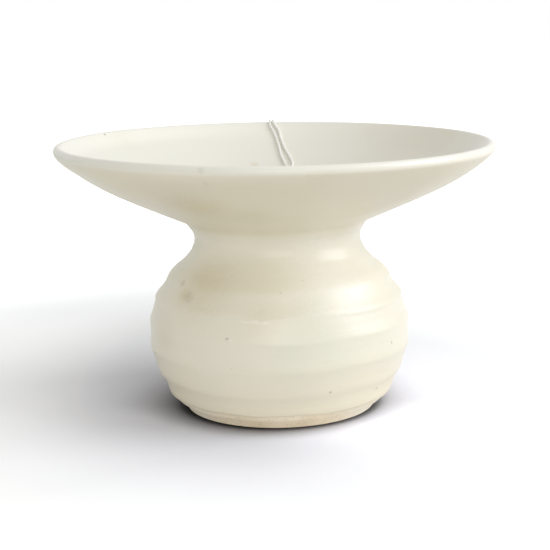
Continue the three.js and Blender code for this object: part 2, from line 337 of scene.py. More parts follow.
    # The glaze ran thicker on one side and calms the rings of the upper half there
    calm = add(tree, "ShaderNodeVectorMath", {0: outwards, 1: given["Calm side"]},
               operation="DOT_PRODUCT").outputs["Value"]
    for operation, value in (("MAXIMUM", 0.0), ("POWER", CALM_NARROWNESS), ("MULTIPLY", given["Calm share"]),
                             ("MULTIPLY", zone["upper half"])):
        calm = add(tree, "ShaderNodeMath", {0: calm, 1: value}, operation=operation).outputs[0]
    calm = add(tree, "ShaderNodeMath", {0: 1.0, 1: calm}, operation="SUBTRACT").outputs[0]
    for share in (noise["strength"], calm, zone["wall"]):
        relief = add(tree, "ShaderNodeMath", {0: relief, 1: share}, operation="MULTIPLY").outputs[0]
    uneven = noise["out of round"]
    for share in (given["Out of round"], zone["wall"]):
        uneven = add(tree, "ShaderNodeMath", {0: uneven, 1: share}, operation="MULTIPLY").outputs[0]
    outward = add(tree, "ShaderNodeMath", {0: relief, 1: uneven}, operation="ADD").outputs[0]

    # The glaze line wavers: the wall there slides along its own slope
    line_slide = noise["glaze line"]
    for share in (zone["up to line"], zone["down to line"], zone["wall"], given["Glaze line waver"]):
        line_slide = add(tree, "ShaderNodeMath", {0: line_slide, 1: share}, operation="MULTIPLY").outputs[0]
    outward = add(tree, "ShaderNodeMath", {0: line_slide, 1: LINE_SLOPE, 2: outward},
                  operation="MULTIPLY_ADD").outputs[0]
    moved = add(tree, "ShaderNodeVectorMath", {0: outwards, "Scale": outward}, operation="SCALE").outputs[0]

    # Lean, rim tilt and an uneven rim
    square, tilt, rim = [
        add(tree, "ShaderNodeMath", {0: one, 1: other}, operation="MULTIPLY").outputs[0]
        for one, other in (
            (height, height), (split[0], given["Rim tilt"]), (noise["rim"], given["Rim waver"]))
    ]
    lean = add(tree, "ShaderNodeMath", {0: square, 1: given["Lean"]}, operation="MULTIPLY").outputs[0]
    lean = add(tree, "ShaderNodeMath", {0: given["Foot shift"], 1: lean}, operation="SUBTRACT").outputs[0]
    lift = add(tree, "ShaderNodeMath", {0: rim, 1: tilt}, operation="SUBTRACT").outputs[0]
    lift = add(tree, "ShaderNodeMath", {0: lift, 1: zone["dish"], 2: line_slide},
               operation="MULTIPLY_ADD").outputs[0]
    # The lip is fuller below on the left than on the right
    towards_x = add(tree, "ShaderNodeSeparateXYZ", {0: outwards}).outputs[0]
    fullness = add(tree, "ShaderNodeMapRange", {0: towards_x, 1: 0.6, 2: -0.6}).outputs[0]
    for share in (zone["up to lip"], zone["down to lip"], zone["outer dish"], given["Lip fullness"]):
        fullness = add(tree, "ShaderNodeMath", {0: fullness, 1: share}, operation="MULTIPLY").outputs[0]
    lift = add(tree, "ShaderNodeMath", {0: lift, 1: fullness}, operation="SUBTRACT").outputs[0]
    lean_and_lift = add(tree, "ShaderNodeCombineXYZ", {0: lean, 2: lift}).outputs[0]
    offset = add(tree, "ShaderNodeVectorMath", {0: moved, 1: lean_and_lift}, operation="ADD").outputs[0]

    shell = add(tree, "GeometryNodeStoreNamedAttribute", {"Geometry": shell, "Name": "ring", "Value": relief},
                data_type="FLOAT", domain="POINT").outputs[0]
    shell = add(tree, "GeometryNodeSetPosition", {"Geometry": shell, "Offset": offset}).outputs[0]
    return end_geometry_tree(tree, shell, given["Material"])


# Runs a tree on a mesh of plain edges and keeps the result as a piece of its own, at the origin
def grown(name, tree, start, values):
    seed = new_object(name + "_seed", start)
    maker = seed.modifiers.new("maker", "NODES")
    maker.node_group = tree
    for socket in tree.interface.items_tree:
        if socket.in_out == "INPUT" and socket.name in values:
            maker[socket.identifier] = values[socket.name]
    evaluated = seed.evaluated_get(bpy.context.evaluated_depsgraph_get())
    mesh = bpy.data.meshes.new_from_object(evaluated)
    mesh.name = name
    bpy.data.objects.remove(seed)
    return new_object(name, mesh)


wheel = wheel_tree()


# A profile in millimetres becomes a mesh of edges that carries the length along itself, and is then turned
def turned(name, line, material):
    profile = bpy.data.meshes.new("profile")
    edges = [(i, i + 1) for i in range(len(line) - 1)]
    profile.from_pydata([(r * MM, 0, z * MM) for r, z in line], edges, [])
    steps = np.linalg.norm(np.diff(line, axis=0), axis=1)
    along = profile.attributes.new("along", "FLOAT", "POINT")
    along.data.foreach_set("value", np.concatenate([[0], np.cumsum(steps)]) * MM)
    return grown(name, wheel, profile, {"Material": material})


# A material with an empty tree, and the place on the piece that its patterns are read from
def new_material(name):
    material = bpy.data.materials.new(name)
    material.use_nodes = True
    tree = material.node_tree
    tree.nodes.clear()
    return material, tree, add(tree, "ShaderNodeTexCoord").outputs["Object"]


def end_material(material, shader_kind, inputs):
    shader = add(material.node_tree, shader_kind, inputs).outputs[0]
    add(material.node_tree, "ShaderNodeOutputMaterial", {"Surface": shader})
    return material


# Sizes of the clay's patterns, and the share of its grains that hold iron
CLAY_CLOUD = 16.67
GROG_SIZE = 0.6
CLAY_GRIT = 0.35
IRON_SHARE = 0.035


# Buff stoneware: iron-bearing clay fired bare, matt, with fine grog that stands out and dark iron specks
def buff_stoneware():
    material, tree, place = new_material("buff_stoneware")
    cloud = add(tree, "ShaderNodeTexNoise",
                {"Vector": place, "Scale": 1 / (CLAY_CLOUD * MM), "Detail": 4.0}).outputs[0]
    tone = add(tree, "ShaderNodeValToRGB", {0: cloud})
    for element, position, hue in zip(tone.color_ramp.elements, (0.3, 0.7), ("#E5D6B8", "#F2E5CA")):
        element.position = position
        element.color = linear(hue)
    grog = add(tree, "ShaderNodeTexVoronoi", {"Vector": place, "Scale": 1 / (GROG_SIZE * MM)}, feature="F1")
    grain = add(tree, "ShaderNodeSeparateColor", {0: grog.outputs["Color"]}).outputs[0]
    iron = add(tree, "ShaderNodeMath", {0: grain, 1: 1 - IRON_SHARE}, operation="GREATER_THAN").outputs[0]
    iron = add(tree, "ShaderNodeMath", {0: iron, 1: 0.3}, operation="MULTIPLY").outputs[0]
    # Glaze that was wiped off the foot has left a pale smear on its two sides
    sideways = add(tree, "ShaderNodeSeparateXYZ", {0: place}).outputs[0]
    sideways = add(tree, "ShaderNodeMath", {0: sideways}, operation="ABSOLUTE").outputs[0]
    smear = add(tree, "ShaderNodeMapRange", {0: sideways, 1: 24 * MM, 2: 44 * MM, 3: 0.0, 4: 0.32}).outputs[0]
    smear = add(tree, "ShaderNodeMath", {0: smear, 1: cloud, 2: smear}, operation="MULTIPLY_ADD").outputs[0]
    colour = tone.outputs[0]
    for share, hue in ((iron, "#7A5A3A"), (smear, "#EAE6D6")):
        colour = add(tree, "ShaderNodeMix", {"Factor": share, "A": colour, "B": linear(hue)},
                     data_type="RGBA").outputs["Result"]
    grit = add(tree, "ShaderNodeTexNoise",
               {"Vector": place, "Scale": 1 / (CLAY_GRIT * MM), "Detail": 2.0}).outputs[0]
    height = add(tree, "ShaderNodeMath", {0: grain, 1: 0.4, 2: grit}, operation="MULTIPLY_ADD").outputs[0]
    bump = add(tree, "ShaderNodeBump", {"Strength": 0.5, "Distance": 0.08 * MM, "Height": height}).outputs[0]
    return end_material(material, "ShaderNodeBsdfPrincipled", {
        "Base Color": colour, "Roughness": 0.85, "Normal": bump, "Specular IOR Level": 0.35,
    })


stoneware = buff_stoneware()
ring_inside = FOOT_RADIUS - FOOT_EDGE - FOOT_RING_WIDTH
tenon_radius = np.interp(JOINT_HEIGHT, hollow[:, 1], hollow[:, 0]) + TENON_THICKNESS
tenon_top = JOINT_HEIGHT + TENON_HEIGHT
bulb_line = softened(np.concatenate([
    [[radius, FOOT_RECESS] for radius in (*RECESS_STATIONS, ring_inside - FOOT_RECESS_SLOPE)],
    [[ring_inside, 0], [FOOT_RADIUS - FOOT_BEVEL, 0]],
    up_to(outside, JOINT_HEIGHT),
    [[tenon_radius, JOINT_HEIGHT], [tenon_radius, tenon_top]],
    up_to(hollow, tenon_top)[::-1],
]))
bulb = turned("thrown_bulb_clay", bulb_line, stoneware)
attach(bulb, "root")
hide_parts("thrown_bulb")

# Luting slip
# The thin ring of clay slip that the thrower brushed between the two sections, fired hard in the joint.
# It lies under the glaze.

SLIP_THICKNESS = 1.0
SLIP_STATIONS = 4
SLIP_CLOUD = 11.11
BRUSH_PITCH = 0.4


# Fired clay slip: the same clay sieved fine, so it is darker and has no grit, and is dull, with the
# brush's lines round the ring
def fired_joint_slip():
    material, tree, place = new_material("fired_joint_slip")
    cloud = add(tree, "ShaderNodeTexNoise",
                {"Vector": place, "Scale": 1 / (SLIP_CLOUD * MM), "Detail": 3.0}).outputs[0]
    tone = add(tree, "ShaderNodeMix", {"Factor": cloud, "A": linear("#C9B48E"), "B": linear("#D9C7A2")},
               data_type="RGBA").outputs["Result"]
    level = add(tree, "ShaderNodeSeparateXYZ", {0: place}).outputs[2]
    phase = add(tree, "ShaderNodeMath", {0: level, 1: 2 * math.pi / (BRUSH_PITCH * MM)},
                operation="MULTIPLY").outputs[0]
    phase = add(tree, "ShaderNodeMath", {0: cloud, 1: 9.0, 2: phase}, operation="MULTIPLY_ADD").outputs[0]
    brushed = add(tree, "ShaderNodeMath", {0: phase}, operation="SINE").outputs[0]
    bump = add(tree, "ShaderNodeBump", {"Strength": 0.3, "Distance": 0.04 * MM, "Height": brushed}).outputs[0]
    return end_material(material, "ShaderNodeBsdfPrincipled", {
        "Base Color": tone, "Roughness": 0.9, "Normal": bump, "Specular IOR Level": 0.3,
    })


slip_bottom = JOINT_HEIGHT + UNDERSIDE_GAP
slip_top = slip_bottom + SLIP_THICKNESS
socket_radius = tenon_radius + UNDERSIDE_GAP
slip_heights = np.linspace(slip_bottom, slip_top, SLIP_STATIONS)
slip_line = np.concatenate([
    [[socket_radius, slip_bottom]],
    np.stack([np.interp(slip_heights, outside[:, 1], outside[:, 0]), slip_heights], 1),
    [[socket_radius, slip_top], [socket_radius, slip_bottom]],
])
slip_ring = turned("luting_slip_ring", slip_line, fired_joint_slip())
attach(slip_ring, "root")
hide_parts("luting_slip")

# Flared dish
# The second thrown section: a collar over the bulb's tenon, and a wide dish with a rolled lip, in the same
# stoneware. The glaze covers all of it.

collar_height = slip_top + UNDERSIDE_GAP
socket_top = tenon_top + UNDERSIDE_GAP
dish_profile = np.concatenate([
    up_from(outside, collar_height),
    lip_line(),
    up_from(hollow, socket_top)[::-1],
    [[socket_radius, socket_top], [socket_radius, collar_height]],
    up_from(outside, collar_height)[:1],
])
dish = turned("flared_dish_clay", dish_profile, stoneware)
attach(dish, "root")
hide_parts("flared_dish")

# Outer glaze
# A cream satin glaze over the whole outside, the lip and the dish, down into the neck. It was wiped off the
# foot, where its edge ends in a soft bead.

GLAZE_LINE = 8.5
GLAZE_MEET = 90.0
BEAD_WIDTH = 1.5
BEAD_RISE = 0.18
GREEN_CLOUD = 62.5
DRIFT_SIZE = 41.67
SHEEN_SIZE = 28.57
THROWING_PITCH = 1.7
PEEL_SIZE = 2.2
RAGGED_SIZE = 1.8
SPECK_SPACING = 8
SPECK_SHARE = 0.2
SPECK_STRENGTH = 0.35
SPECK_HUE = "#7C6A50"
PAINTED_LIGHT_HUE = "#F6F3E8"

# What the kiln and the years left on it, with painted shade and painted highlights among it: for each kind
# its colour, how it is squashed, how ragged it is and how much of it is at full strength, and for each mark
# its place and radius in millimetres and its strength
MARKS = {
    "stains_and_shade": ("#CDB98C", (1, 1, 1), 0.6, 0.0, [
        (-43, -89, 111, 30, 0.65), (-15, -82, 106, 23, 0.3), (-49, -39, 70.5, 9, 0.5),
        (-43, -47, 78, 28, 0.32), (-60, -35, 48, 18, 0.15), (-12.8, 80.2, 124.9, 4, 0.35),
        # The last two stains are painted shade: on the dish's inside at the back right, which faces away from
        # the window, and under the dish's front right
        (-8, -66, 60, 14, 0.2), (95, 60, 145, 75, 0.2), (85, -75, 115, 45, 0.15),
    ]),
    "specks": (SPECK_HUE, (1, 1, 1), 1.2, 0.2, [
        (-100, 57, 147.3, 1.1, 0.8), (-35.1, -114.7, 145.8, 2.4, 0.14), (-32.7, -110.3, 139.7, 2.6, 0.13),
        (-50.9, -31.7, 75.1, 3.2, 0.22), (-46.6, -42.2, 69.7, 5, 0.18), (13.2, -54.3, 80, 0.9, 0.35),
        (1.2, -60.8, 75.3, 0.9, 0.28), (60, -40, 42.3, 1.1, 0.5), (51.7, -40, 17, 1.3, 0.5),
        (26, -63, 22, 1.2, 0.4), (-27, -66.5, 52.6, 1.4, 0.35),
    ]),
    # Painted highlights: whiter patches where the window's light falls on the shoulder and the neck at the
    # right
    "painted_highlights": (PAINTED_LIGHT_HUE, (1, 1, 1), 0.6, 0.0, [
        (33, -55, 84, 42, 0.65), (48, -30, 96, 30, 0.4),
    ]),
    # Painted highlights: pale streaks along the crests of the rings at the front
    "painted_crest_highlights": ("#FBF8EE", (0.6, 0.6, 2.6), 1.2, 0.2, [
        (-25, -67, 52, 1.3, 0.7), (-17, -67.2, 61.4, 2.2, 0.4), (-12, -68.3, 61.5, 2.6, 0.5),
        (-7, -68.9, 61.2, 2.2, 0.4),
    ]),
}


# Satin cream glaze: opaque, a little uneven in thickness, so warmer where it drained thin over the rings and
# the foot, and whiter where it pooled in the dish, which is also painted light on the faces turned up;
# painted shade warms and darkens the dish's underside, painted light whitens the lip, and painted shade and
# painted highlights are among its marks; a soft shine, and a few specks
def satin_cream():
    material, tree, place = new_material("satin_cream_glaze")
    height = add(tree, "ShaderNodeSeparateXYZ", {0: place}).outputs[2]
    normal = add(tree, "ShaderNodeNewGeometry").outputs["Normal"]
    facing = add(tree, "ShaderNodeSeparateXYZ", {0: normal}).outputs[2]
    ring = add(tree, "ShaderNodeAttribute", attribute_name="ring").outputs["Fac"]
    drift, sheen = [
        add(tree, "ShaderNodeTexNoise", {"Vector": place, "Scale": 1 / (size * MM), "Detail": 3.0}).outputs[0]
        for size in (DRIFT_SIZE, SHEEN_SIZE)
    ]
    cloud = add(tree, "ShaderNodeTexNoise", {"Vector": place, "Scale": 1 / (GREEN_CLOUD * MM), "Detail": 2.0,
                                             "Distortion": 0.4}).outputs[0]

    # How much of each thing there is: what shows it, where that starts and is full, and how much it is then
    share = {}
    for name, shown_by, start, full, most in (
        ("green", cloud, 0.5, 0.72, 1.0), ("patch", drift, 0.52, 0.7, 0.15),
        # Faces turned up above the throat are whiter, partly pooled glaze and partly painted light
        ("upward", facing, 0.0, 0.5, 1.0), ("above throat", height, 104 * MM, 114 * MM, 1.0),
        # Faces turned down under the dish are warmer and darker: painted shade
        ("painted_under_shade", facing, -0.2, -0.7, 0.6), ("above neck", height, 100 * MM, 104 * MM, 1.0),
        ("lip", height, 136 * MM, 144 * MM, 0.4), ("foot", height, 42 * MM, 9 * MM, 0.75),
        ("crest", ring, 0.1 * MM, 0.9 * MM, 0.15),
    ):
        share[name] = add(tree, "ShaderNodeMapRange", {0: shown_by, 1: start, 2: full, 4: most}).outputs[0]
    pooled_and_lit, thin_and_shaded = [
        add(tree, "ShaderNodeMath", {0: share[way], 1: share[zone]}, operation="MULTIPLY").outputs[0]
        for way, zone in (("upward", "above throat"), ("painted_under_shade", "above neck"))
    ]
    for name in ("foot", "crest", "patch"):
        thin_and_shaded = add(tree, "ShaderNodeMath", {0: thin_and_shaded, 1: share[name]}, operation="ADD",
                   use_clamp=True).outputs[0]

    # Iron specks of about half a millimetre, a few in each palm's breadth
    spots = add(tree, "ShaderNodeTexVoronoi", {"Vector": place, "Scale": 1 / (SPECK_SPACING * MM)},
                feature="F1").outputs
    near = add(tree, "ShaderNodeMapRange", {0: spots["Distance"], 1: 0.05, 2: 0.02}).outputs[0]
    chance = add(tree, "ShaderNodeSeparateColor", {0: spots["Color"]}).outputs[0]
    chosen = add(tree, "ShaderNodeMath", {0: chance, 1: 1 - SPECK_SHARE}, operation="GREATER_THAN").outputs[0]
    iron = near
    for factor in (chosen, SPECK_STRENGTH):
        iron = add(tree, "ShaderNodeMath", {0: iron, 1: factor}, operation="MULTIPLY").outputs[0]
    # The lip band's whiter colour is painted light
    layers = [
        (share["green"], "#E5E3D1"), (pooled_and_lit, "#ECEADC"), (share["lip"], PAINTED_LIGHT_HUE), (thin_and_shaded, "#E5DBBE"),
        (iron, SPECK_HUE),
    ]

    # Each mark fades out from its middle, with a ragged edge
    ragged = add(tree, "ShaderNodeTexNoise",
                 {"Vector": place, "Scale": 1 / (RAGGED_SIZE * MM), "Detail": 2.0}).outputs[1]
    wobble = add(tree, "ShaderNodeVectorMath", {0: ragged, 1: (0.5, 0.5, 0.5)},
                 operation="SUBTRACT").outputs[0]
    for hue, squash, ragged_share, core, marks in MARKS.values():
        marked = None
        for x, y, z, radius, strength in marks:
            loose = add(tree, "ShaderNodeVectorMath", {0: wobble, "Scale": ragged_share * radius * MM},
                        operation="SCALE").outputs[0]
            off = place
            middle = (x * MM, y * MM, z * MM)
            for operation, value in (("SUBTRACT", middle), ("ADD", loose), ("MULTIPLY", squash)):
                off = add(tree, "ShaderNodeVectorMath", {0: off, 1: value}, operation=operation).outputs[0]
            off = add(tree, "ShaderNodeVectorMath", {0: off}, operation="LENGTH").outputs["Value"]
            inputs = {0: off, 1: radius * MM, 2: core * radius * MM, 4: strength}
            mark = add(tree, "ShaderNodeMapRange", inputs, interpolation_type="SMOOTHSTEP").outputs[0]
            if marked is not None:
                mark = add(tree, "ShaderNodeMath", {0: marked, 1: mark}, operation="MAXIMUM").outputs[0]
            marked = mark
        layers.append((marked, hue))
    colour = linear("#EBE5D2")
    for covered, hue in layers:
        colour = add(tree, "ShaderNodeMix", {"Factor": covered, "A": colour, "B": linear(hue)},
                     data_type="RGBA").outputs["Result"]

    # The throwing lines show through the glaze, with a slight orange peel over them
    along = add(tree, "ShaderNodeAttribute", attribute_name="along").outputs["Fac"]
    phase = add(tree, "ShaderNodeMath", {0: along, 1: 2 * math.pi / (THROWING_PITCH * MM)},
                operation="MULTIPLY").outputs[0]
    phase = add(tree, "ShaderNodeMath", {0: drift, 1: 14.0, 2: phase}, operation="MULTIPLY_ADD").outputs[0]
    lines = add(tree, "ShaderNodeMath", {0: phase}, operation="SINE").outputs[0]
    peel = add(tree, "ShaderNodeTexNoise",
               {"Vector": place, "Scale": 1 / (PEEL_SIZE * MM), "Detail": 2.0}).outputs[0]
    surface = add(tree, "ShaderNodeMath", {0: lines, 1: 0.25, 2: peel}, operation="MULTIPLY_ADD").outputs[0]
    bump = add(tree, "ShaderNodeBump", {"Strength": 0.5, "Distance": 0.05 * MM, "Height": surface}).outputs[0]
    rough = add(tree, "ShaderNodeMapRange", {0: sheen, 1: 0.3, 2: 0.7, 3: 0.29, 4: 0.4}).outputs[0]
    return end_material(material, "ShaderNodeBsdfPrincipled", {
        "Base Color": colour, "Roughness": rough, "Normal": bump, "IOR": 1.55,
    })


cream = satin_cream()
coat_base = np.concatenate([
    up_from(outside, GLAZE_LINE),
    lip_line(),
    up_from(hollow, GLAZE_MEET)[::-1],
])
# The coat rounds off at its lower edge, with a slight bead over the wiped line
reach = np.concatenate([[0], np.cumsum(np.linalg.norm(np.diff(coat_base, axis=0), axis=1))])
edge = np.clip(reach / BEAD_WIDTH, 0, 1)
bead = BEAD_RISE * np.exp(-((reach - BEAD_WIDTH) / BEAD_WIDTH) ** 2) * edge
coat = SKIN * np.sqrt(1 - (1 - edge) ** 2) + bead
top_side = beside(coat_base, coat)
under_side = beside(coat_base, np.minimum(UNDERSIDE_GAP, coat * 0.5))[::-3]
outer_line = np.concatenate([under_side, top_side, under_side[:1]])
outer = turned("outer_glaze_coat", outer_line, cream)
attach(outer, "root")
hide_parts("outer_glaze")

# Liner glaze
# The same cream glaze, poured inside the bulb and emptied out, so that it lines the floor and the wall.
# It ends in the neck, just under the outer glaze's edge.

GLAZE_MEET_GAP = 0.1
liner_base = up_to(hollow, GLAZE_MEET - GLAZE_MEET_GAP)
liner_line = np.concatenate([beside(liner_base, -UNDERSIDE_GAP), beside(liner_base, -SKIN)[::-1]])
liner = turned("liner_glaze_coat", liner_line, cream)
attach(liner, "root")
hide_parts("liner_glaze")

# Tie string
# One doubled length of white cotton string, three plies laid together, that hangs over the back of the rim
# and lies down the dish to its fold. It lies loose on the glaze.

STRING_DIAMETER = 1.5 * MM
STRING_STEP = 0.4 * MM
# A loose string stands a little wider than it measures when it is drawn tight
STRING_LOFT = 1.14
PLY_COUNT = 3
PLY_SIDES = 7
PLY_RADIUS_SHARE = 0.245
PLY_OFFSET_SHARE = 0.268
TWIST_LENGTH = 4.8 * MM
FIBRE_WIDTH = 0.25
CURVE_SAMPLES = 40
# How far its middle rests off the glaze, in diameters, and how near to it the glaze is looked for
REST_SHARE = 0.48
REST_REACH = 1.9 * MM
REST_SMOOTHING = 7
STRING_ROUTE = [
    (-2.8, 121.2, 95.0), (-2.8, 121.2, 112.0), (-2.8, 121.2, 130.0),
    (-2.8, 121.2, 144.8), (-2.8, 120.5, 147.0), (-2.85, 118.6, 148.5), (-2.95, 116.2, 148.6),
    (-3.0, 114.2, 147.5), (-2.7, 112.4, 145.8), (-1.0, 109.4, 143.0), (0.7, 104.6, 139.4),
    (2.4, 97.0, 134.6), (3.6, 88.6, 130.1), (6.1, 78.4, 125.3), (7.3, 73.4, 123.1),
    (7.0, 69.6, 121.4), (6.2, 65.6, 119.6), (6.0, 62.0, 118.0), (6.7, 59.7, 117.0),
    (8.6, 58.2, 116.5), (11.0, 58.2, 116.6), (12.9, 59.7, 117.4), (13.6, 62.0, 118.5),
    (12.9, 66.4, 120.3), (11.2, 70.4, 122.0), (10.1, 74.6, 123.8), (10.4, 79.8, 126.2),
    (8.6, 87.2, 129.7), (5.6, 96.4, 134.4), (3.8, 103.6, 138.9), (2.4, 109.4, 143.2),
    (0.3, 112.8, 146.0), (-0.6, 114.4, 147.5), (-0.75, 116.2, 148.6), (-0.8, 118.6, 148.5),
    (-0.85, 120.5, 147.0), (-0.9, 121.2, 144.8),
    (-0.95, 121.2, 130.0), (-0.95, 121.2, 112.0), (-0.95, 121.2, 95.0),
]


def blend(first, last, start, end, t):
    return first * (end - t) / (end - start) + last * (t - start) / (end - start)


# A smooth curve through points, centripetal Catmull-Rom, in even steps
def smooth_path(points, step):
    points = np.array(points, float)
    ends = np.concatenate([[2 * points[0] - points[1]], points, [2 * points[-1] - points[-2]]])
    knots = np.concatenate([[0], np.cumsum(np.sqrt(np.linalg.norm(np.diff(ends, axis=0), axis=1)))])
    dense = []
    for i in range(1, len(ends) - 2):
        t = np.linspace(knots[i], knots[i + 1], CURVE_SAMPLES, endpoint=False)[:, None]
        a = [blend(ends[j], ends[j + 1], knots[j], knots[j + 1], t) for j in (i - 1, i, i + 1)]
        b = [blend(a[j], a[j + 1], knots[i - 1 + j], knots[i + 1 + j], t) for j in (0, 1)]
        dense.append(blend(b[0], b[1], knots[i], knots[i + 1], t))
    dense = np.concatenate(dense + [points[-1:]])
    lengths = np.concatenate([[0], np.cumsum(np.linalg.norm(np.diff(dense, axis=0), axis=1))])
    even = np.linspace(0, lengths[-1], int(lengths[-1] / step) + 1)
    return np.stack([np.interp(even, lengths, dense[:, k]) for k in range(3)], 1)


# Lets the string down on the glaze wherever it lies within reach of it; what hangs free goes with the
# nearest place that touches, and the moves are evened out along the string
def settled(path, ground, gap, reach):
    moves = np.full((len(path), 3), np.nan)
    for i, point in enumerate(path):
        spot, _, _, distance = ground.find_nearest(Vector(point), reach)
        if spot is not None:
            away = (Vector(point) - spot).normalized()
            moves[i] = np.array(away) * (gap - distance)
    touching = np.flatnonzero(~np.isnan(moves[:, 0]))
    for k in range(3):
        moves[:, k] = np.interp(np.arange(len(path)), touching, moves[touching, k])
    span = 2 * REST_SMOOTHING + 1
    window = np.ones(span) / span
    padded = np.pad(moves, ((REST_SMOOTHING, REST_SMOOTHING), (0, 0)), mode="edge")
    return path + np.stack([np.convolve(padded[:, k], window, mode="valid") for k in range(3)], 1)


# Lays plies round a path, each a round strand on its own helix. Three round plies that just touch are each
# 0.232 of the string's diameter in radius, so these are pressed slightly into each other
def string_tree():
    tree, given = new_geometry_tree("laid_string", [
        ("Path", "Geometry", None), ("Diameter", "Float", STRING_LOFT * STRING_DIAMETER),
        ("Plies", "Int", PLY_COUNT), ("Twist length", "Float", TWIST_LENGTH), ("Ply sides", "Int", PLY_SIDES),
        ("Material", "Material", None),
    ])
    line = add(tree, "GeometryNodeMeshToCurve", {"Mesh": given["Path"]}).outputs[0]
    plies = add(tree, "GeometryNodeDuplicateElements", {"Geometry": line, "Amount": given["Plies"]},
                domain="SPLINE").outputs
    length = add(tree, "GeometryNodeSplineParameter").outputs["Length"]
    part = add(tree, "ShaderNodeMath", {0: plies["Duplicate Index"], 1: given["Plies"]},
               operation="DIVIDE").outputs[0]
    angle = length
    for operation, value in (("DIVIDE", given["Twist length"]), ("ADD", part), ("MULTIPLY", 2 * math.pi)):
        angle = add(tree, "ShaderNodeMath", {0: angle, 1: value}, operation=operation).outputs[0]
    side = add(tree, "GeometryNodeInputNormal").outputs[0]
    ahead = add(tree, "GeometryNodeInputTangent").outputs[0]
    spun = add(tree, "ShaderNodeVectorRotate", {"Vector": side, "Axis": ahead, "Angle": angle},
               rotation_type="AXIS_ANGLE").outputs[0]
    ply_offset, ply_radius = [
        add(tree, "ShaderNodeMath", {0: given["Diameter"], 1: share}, operation="MULTIPLY").outputs[0]
        for share in (PLY_OFFSET_SHARE, PLY_RADIUS_SHARE)
    ]
    offset = add(tree, "ShaderNodeVectorMath", {0: spun, "Scale": ply_offset}, operation="SCALE").outputs[0]
    laid = add(tree, "GeometryNodeSetPosition", {"Geometry": plies["Geometry"], "Offset": offset}).outputs[0]
    section = add(tree, "GeometryNodeCurvePrimitiveCircle",
                  {"Resolution": given["Ply sides"], "Radius": ply_radius}).outputs[0]
    tubes = add(tree, "GeometryNodeCurveToMesh",
                {"Curve": laid, "Profile Curve": section, "Fill Caps": True}).outputs[0]
    return end_geometry_tree(tree, tubes, given["Material"])


# Cotton string: bleached staple cotton, matt and soft, with fine fibres across each ply
def white_cotton():
    material, tree, place = new_material("white_cotton")
    fibre = add(tree, "ShaderNodeTexNoise",
                {"Vector": place, "Scale": 1 / (FIBRE_WIDTH * MM), "Detail": 3.0}).outputs[0]
    tone = add(tree, "ShaderNodeValToRGB", {0: fibre})
    for element, position, hue in zip(tone.color_ramp.elements, (0.3, 0.65), ("#ECE9DE", "#FCFBF5")):
        element.position = position
        element.color = linear(hue)
    bump = add(tree, "ShaderNodeBump", {"Strength": 0.6, "Distance": 0.06 * MM, "Height": fibre}).outputs[0]
    return end_material(material, "ShaderNodeBsdfPrincipled", {
        "Base Color": tone.outputs[0], "Roughness": 0.95, "Normal": bump, "Specular IOR Level": 0.2,
        "Sheen Weight": 0.4, "Sheen Roughness": 0.5, "Subsurface Weight": 0.5, "Subsurface Radius": (1, 1, 1),
        "Subsurface Scale": 0.8 * MM,
    })


def string_mesh(name, *paths):
    mesh = bpy.data.meshes.new("path")
    edges, first = [], 0
    for path in paths:
        edges += [(first + i, first + i + 1) for i in range(len(path) - 1)]
        first += len(path)
    mesh.from_pydata([tuple(p) for p in np.concatenate(paths)], edges, [])
    return grown(name, string_lay, mesh, {"Material": cotton})


cotton = white_cotton()
string_lay = string_tree()
glaze_ground = BVHTree.FromPolygons(
    [v.co for v in outer.data.vertices], [p.vertices for p in outer.data.polygons])
route = smooth_path(np.array(STRING_ROUTE) * MM, STRING_STEP)
string_path = settled(route, glaze_ground, STRING_DIAMETER * REST_SHARE, REST_REACH)
string = string_mesh("tie_string_yarn", string_path)
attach(string, "root")
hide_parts("tie_string")

# String knot
# The string's two ends are tied together behind the vase: one is wound round both and drawn tight, and
# two short tails are left.

KNOT_TURNS = 3.5
KNOT_HEIGHT = 5.6 * MM
KNOT_WIDTH = 2.35 * MM
KNOT_DEPTH = 1.8 * MM
KNOT_DROP = 0.3 * MM
KNOT_POINTS = 240
TAIL_LENGTH = 9 * MM
TAIL_SPREAD = math.radians(14)
TAIL_OVERLAP = 0.5 * MM
TAIL_POINTS = 60
# The share of a tail's points that lie inside the knot
TAIL_HELD = 0.4
ends = [string_path[0], string_path[-1]]
knot_middle = (ends[0] + ends[1]) / 2 - [0, 0, KNOT_HEIGHT / 2 + KNOT_DROP]
turn_angles = np.linspace(0, 2 * math.pi * KNOT_TURNS, KNOT_POINTS)
wound = knot_middle + np.stack([
    KNOT_WIDTH * np.sin(turn_angles),
    -KNOT_DEPTH * np.cos(turn_angles),
    (KNOT_HEIGHT - STRING_DIAMETER) * (0.5 - turn_angles / turn_angles[-1]),
], 1)
tails = []
for side, end in zip((-1, 1), ends):
    top = end + [0, 0, TAIL_OVERLAP]
    drop = np.linspace(0, 1, TAIL_POINTS)[:, None]
    bottom = knot_middle + [side * STRING_DIAMETER * 0.5, 0, 0]
    tip = bottom + np.array([side * math.sin(TAIL_SPREAD), 0, -math.cos(TAIL_SPREAD)]) * TAIL_LENGTH
    held = top + (bottom - top) * drop / TAIL_HELD
    free = bottom + (tip - bottom) * (drop - TAIL_HELD) / (1 - TAIL_HELD)
    tails.append(np.where(drop < TAIL_HELD, held, free))
knot = string_mesh("string_knot_windings", wound, *tails)
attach(knot, "root")
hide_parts("string_knot")

# Floor, light and camera
# The vase stands on a white sweep in a window's light from the right, with white walls round it.
# Distances here are in metres.


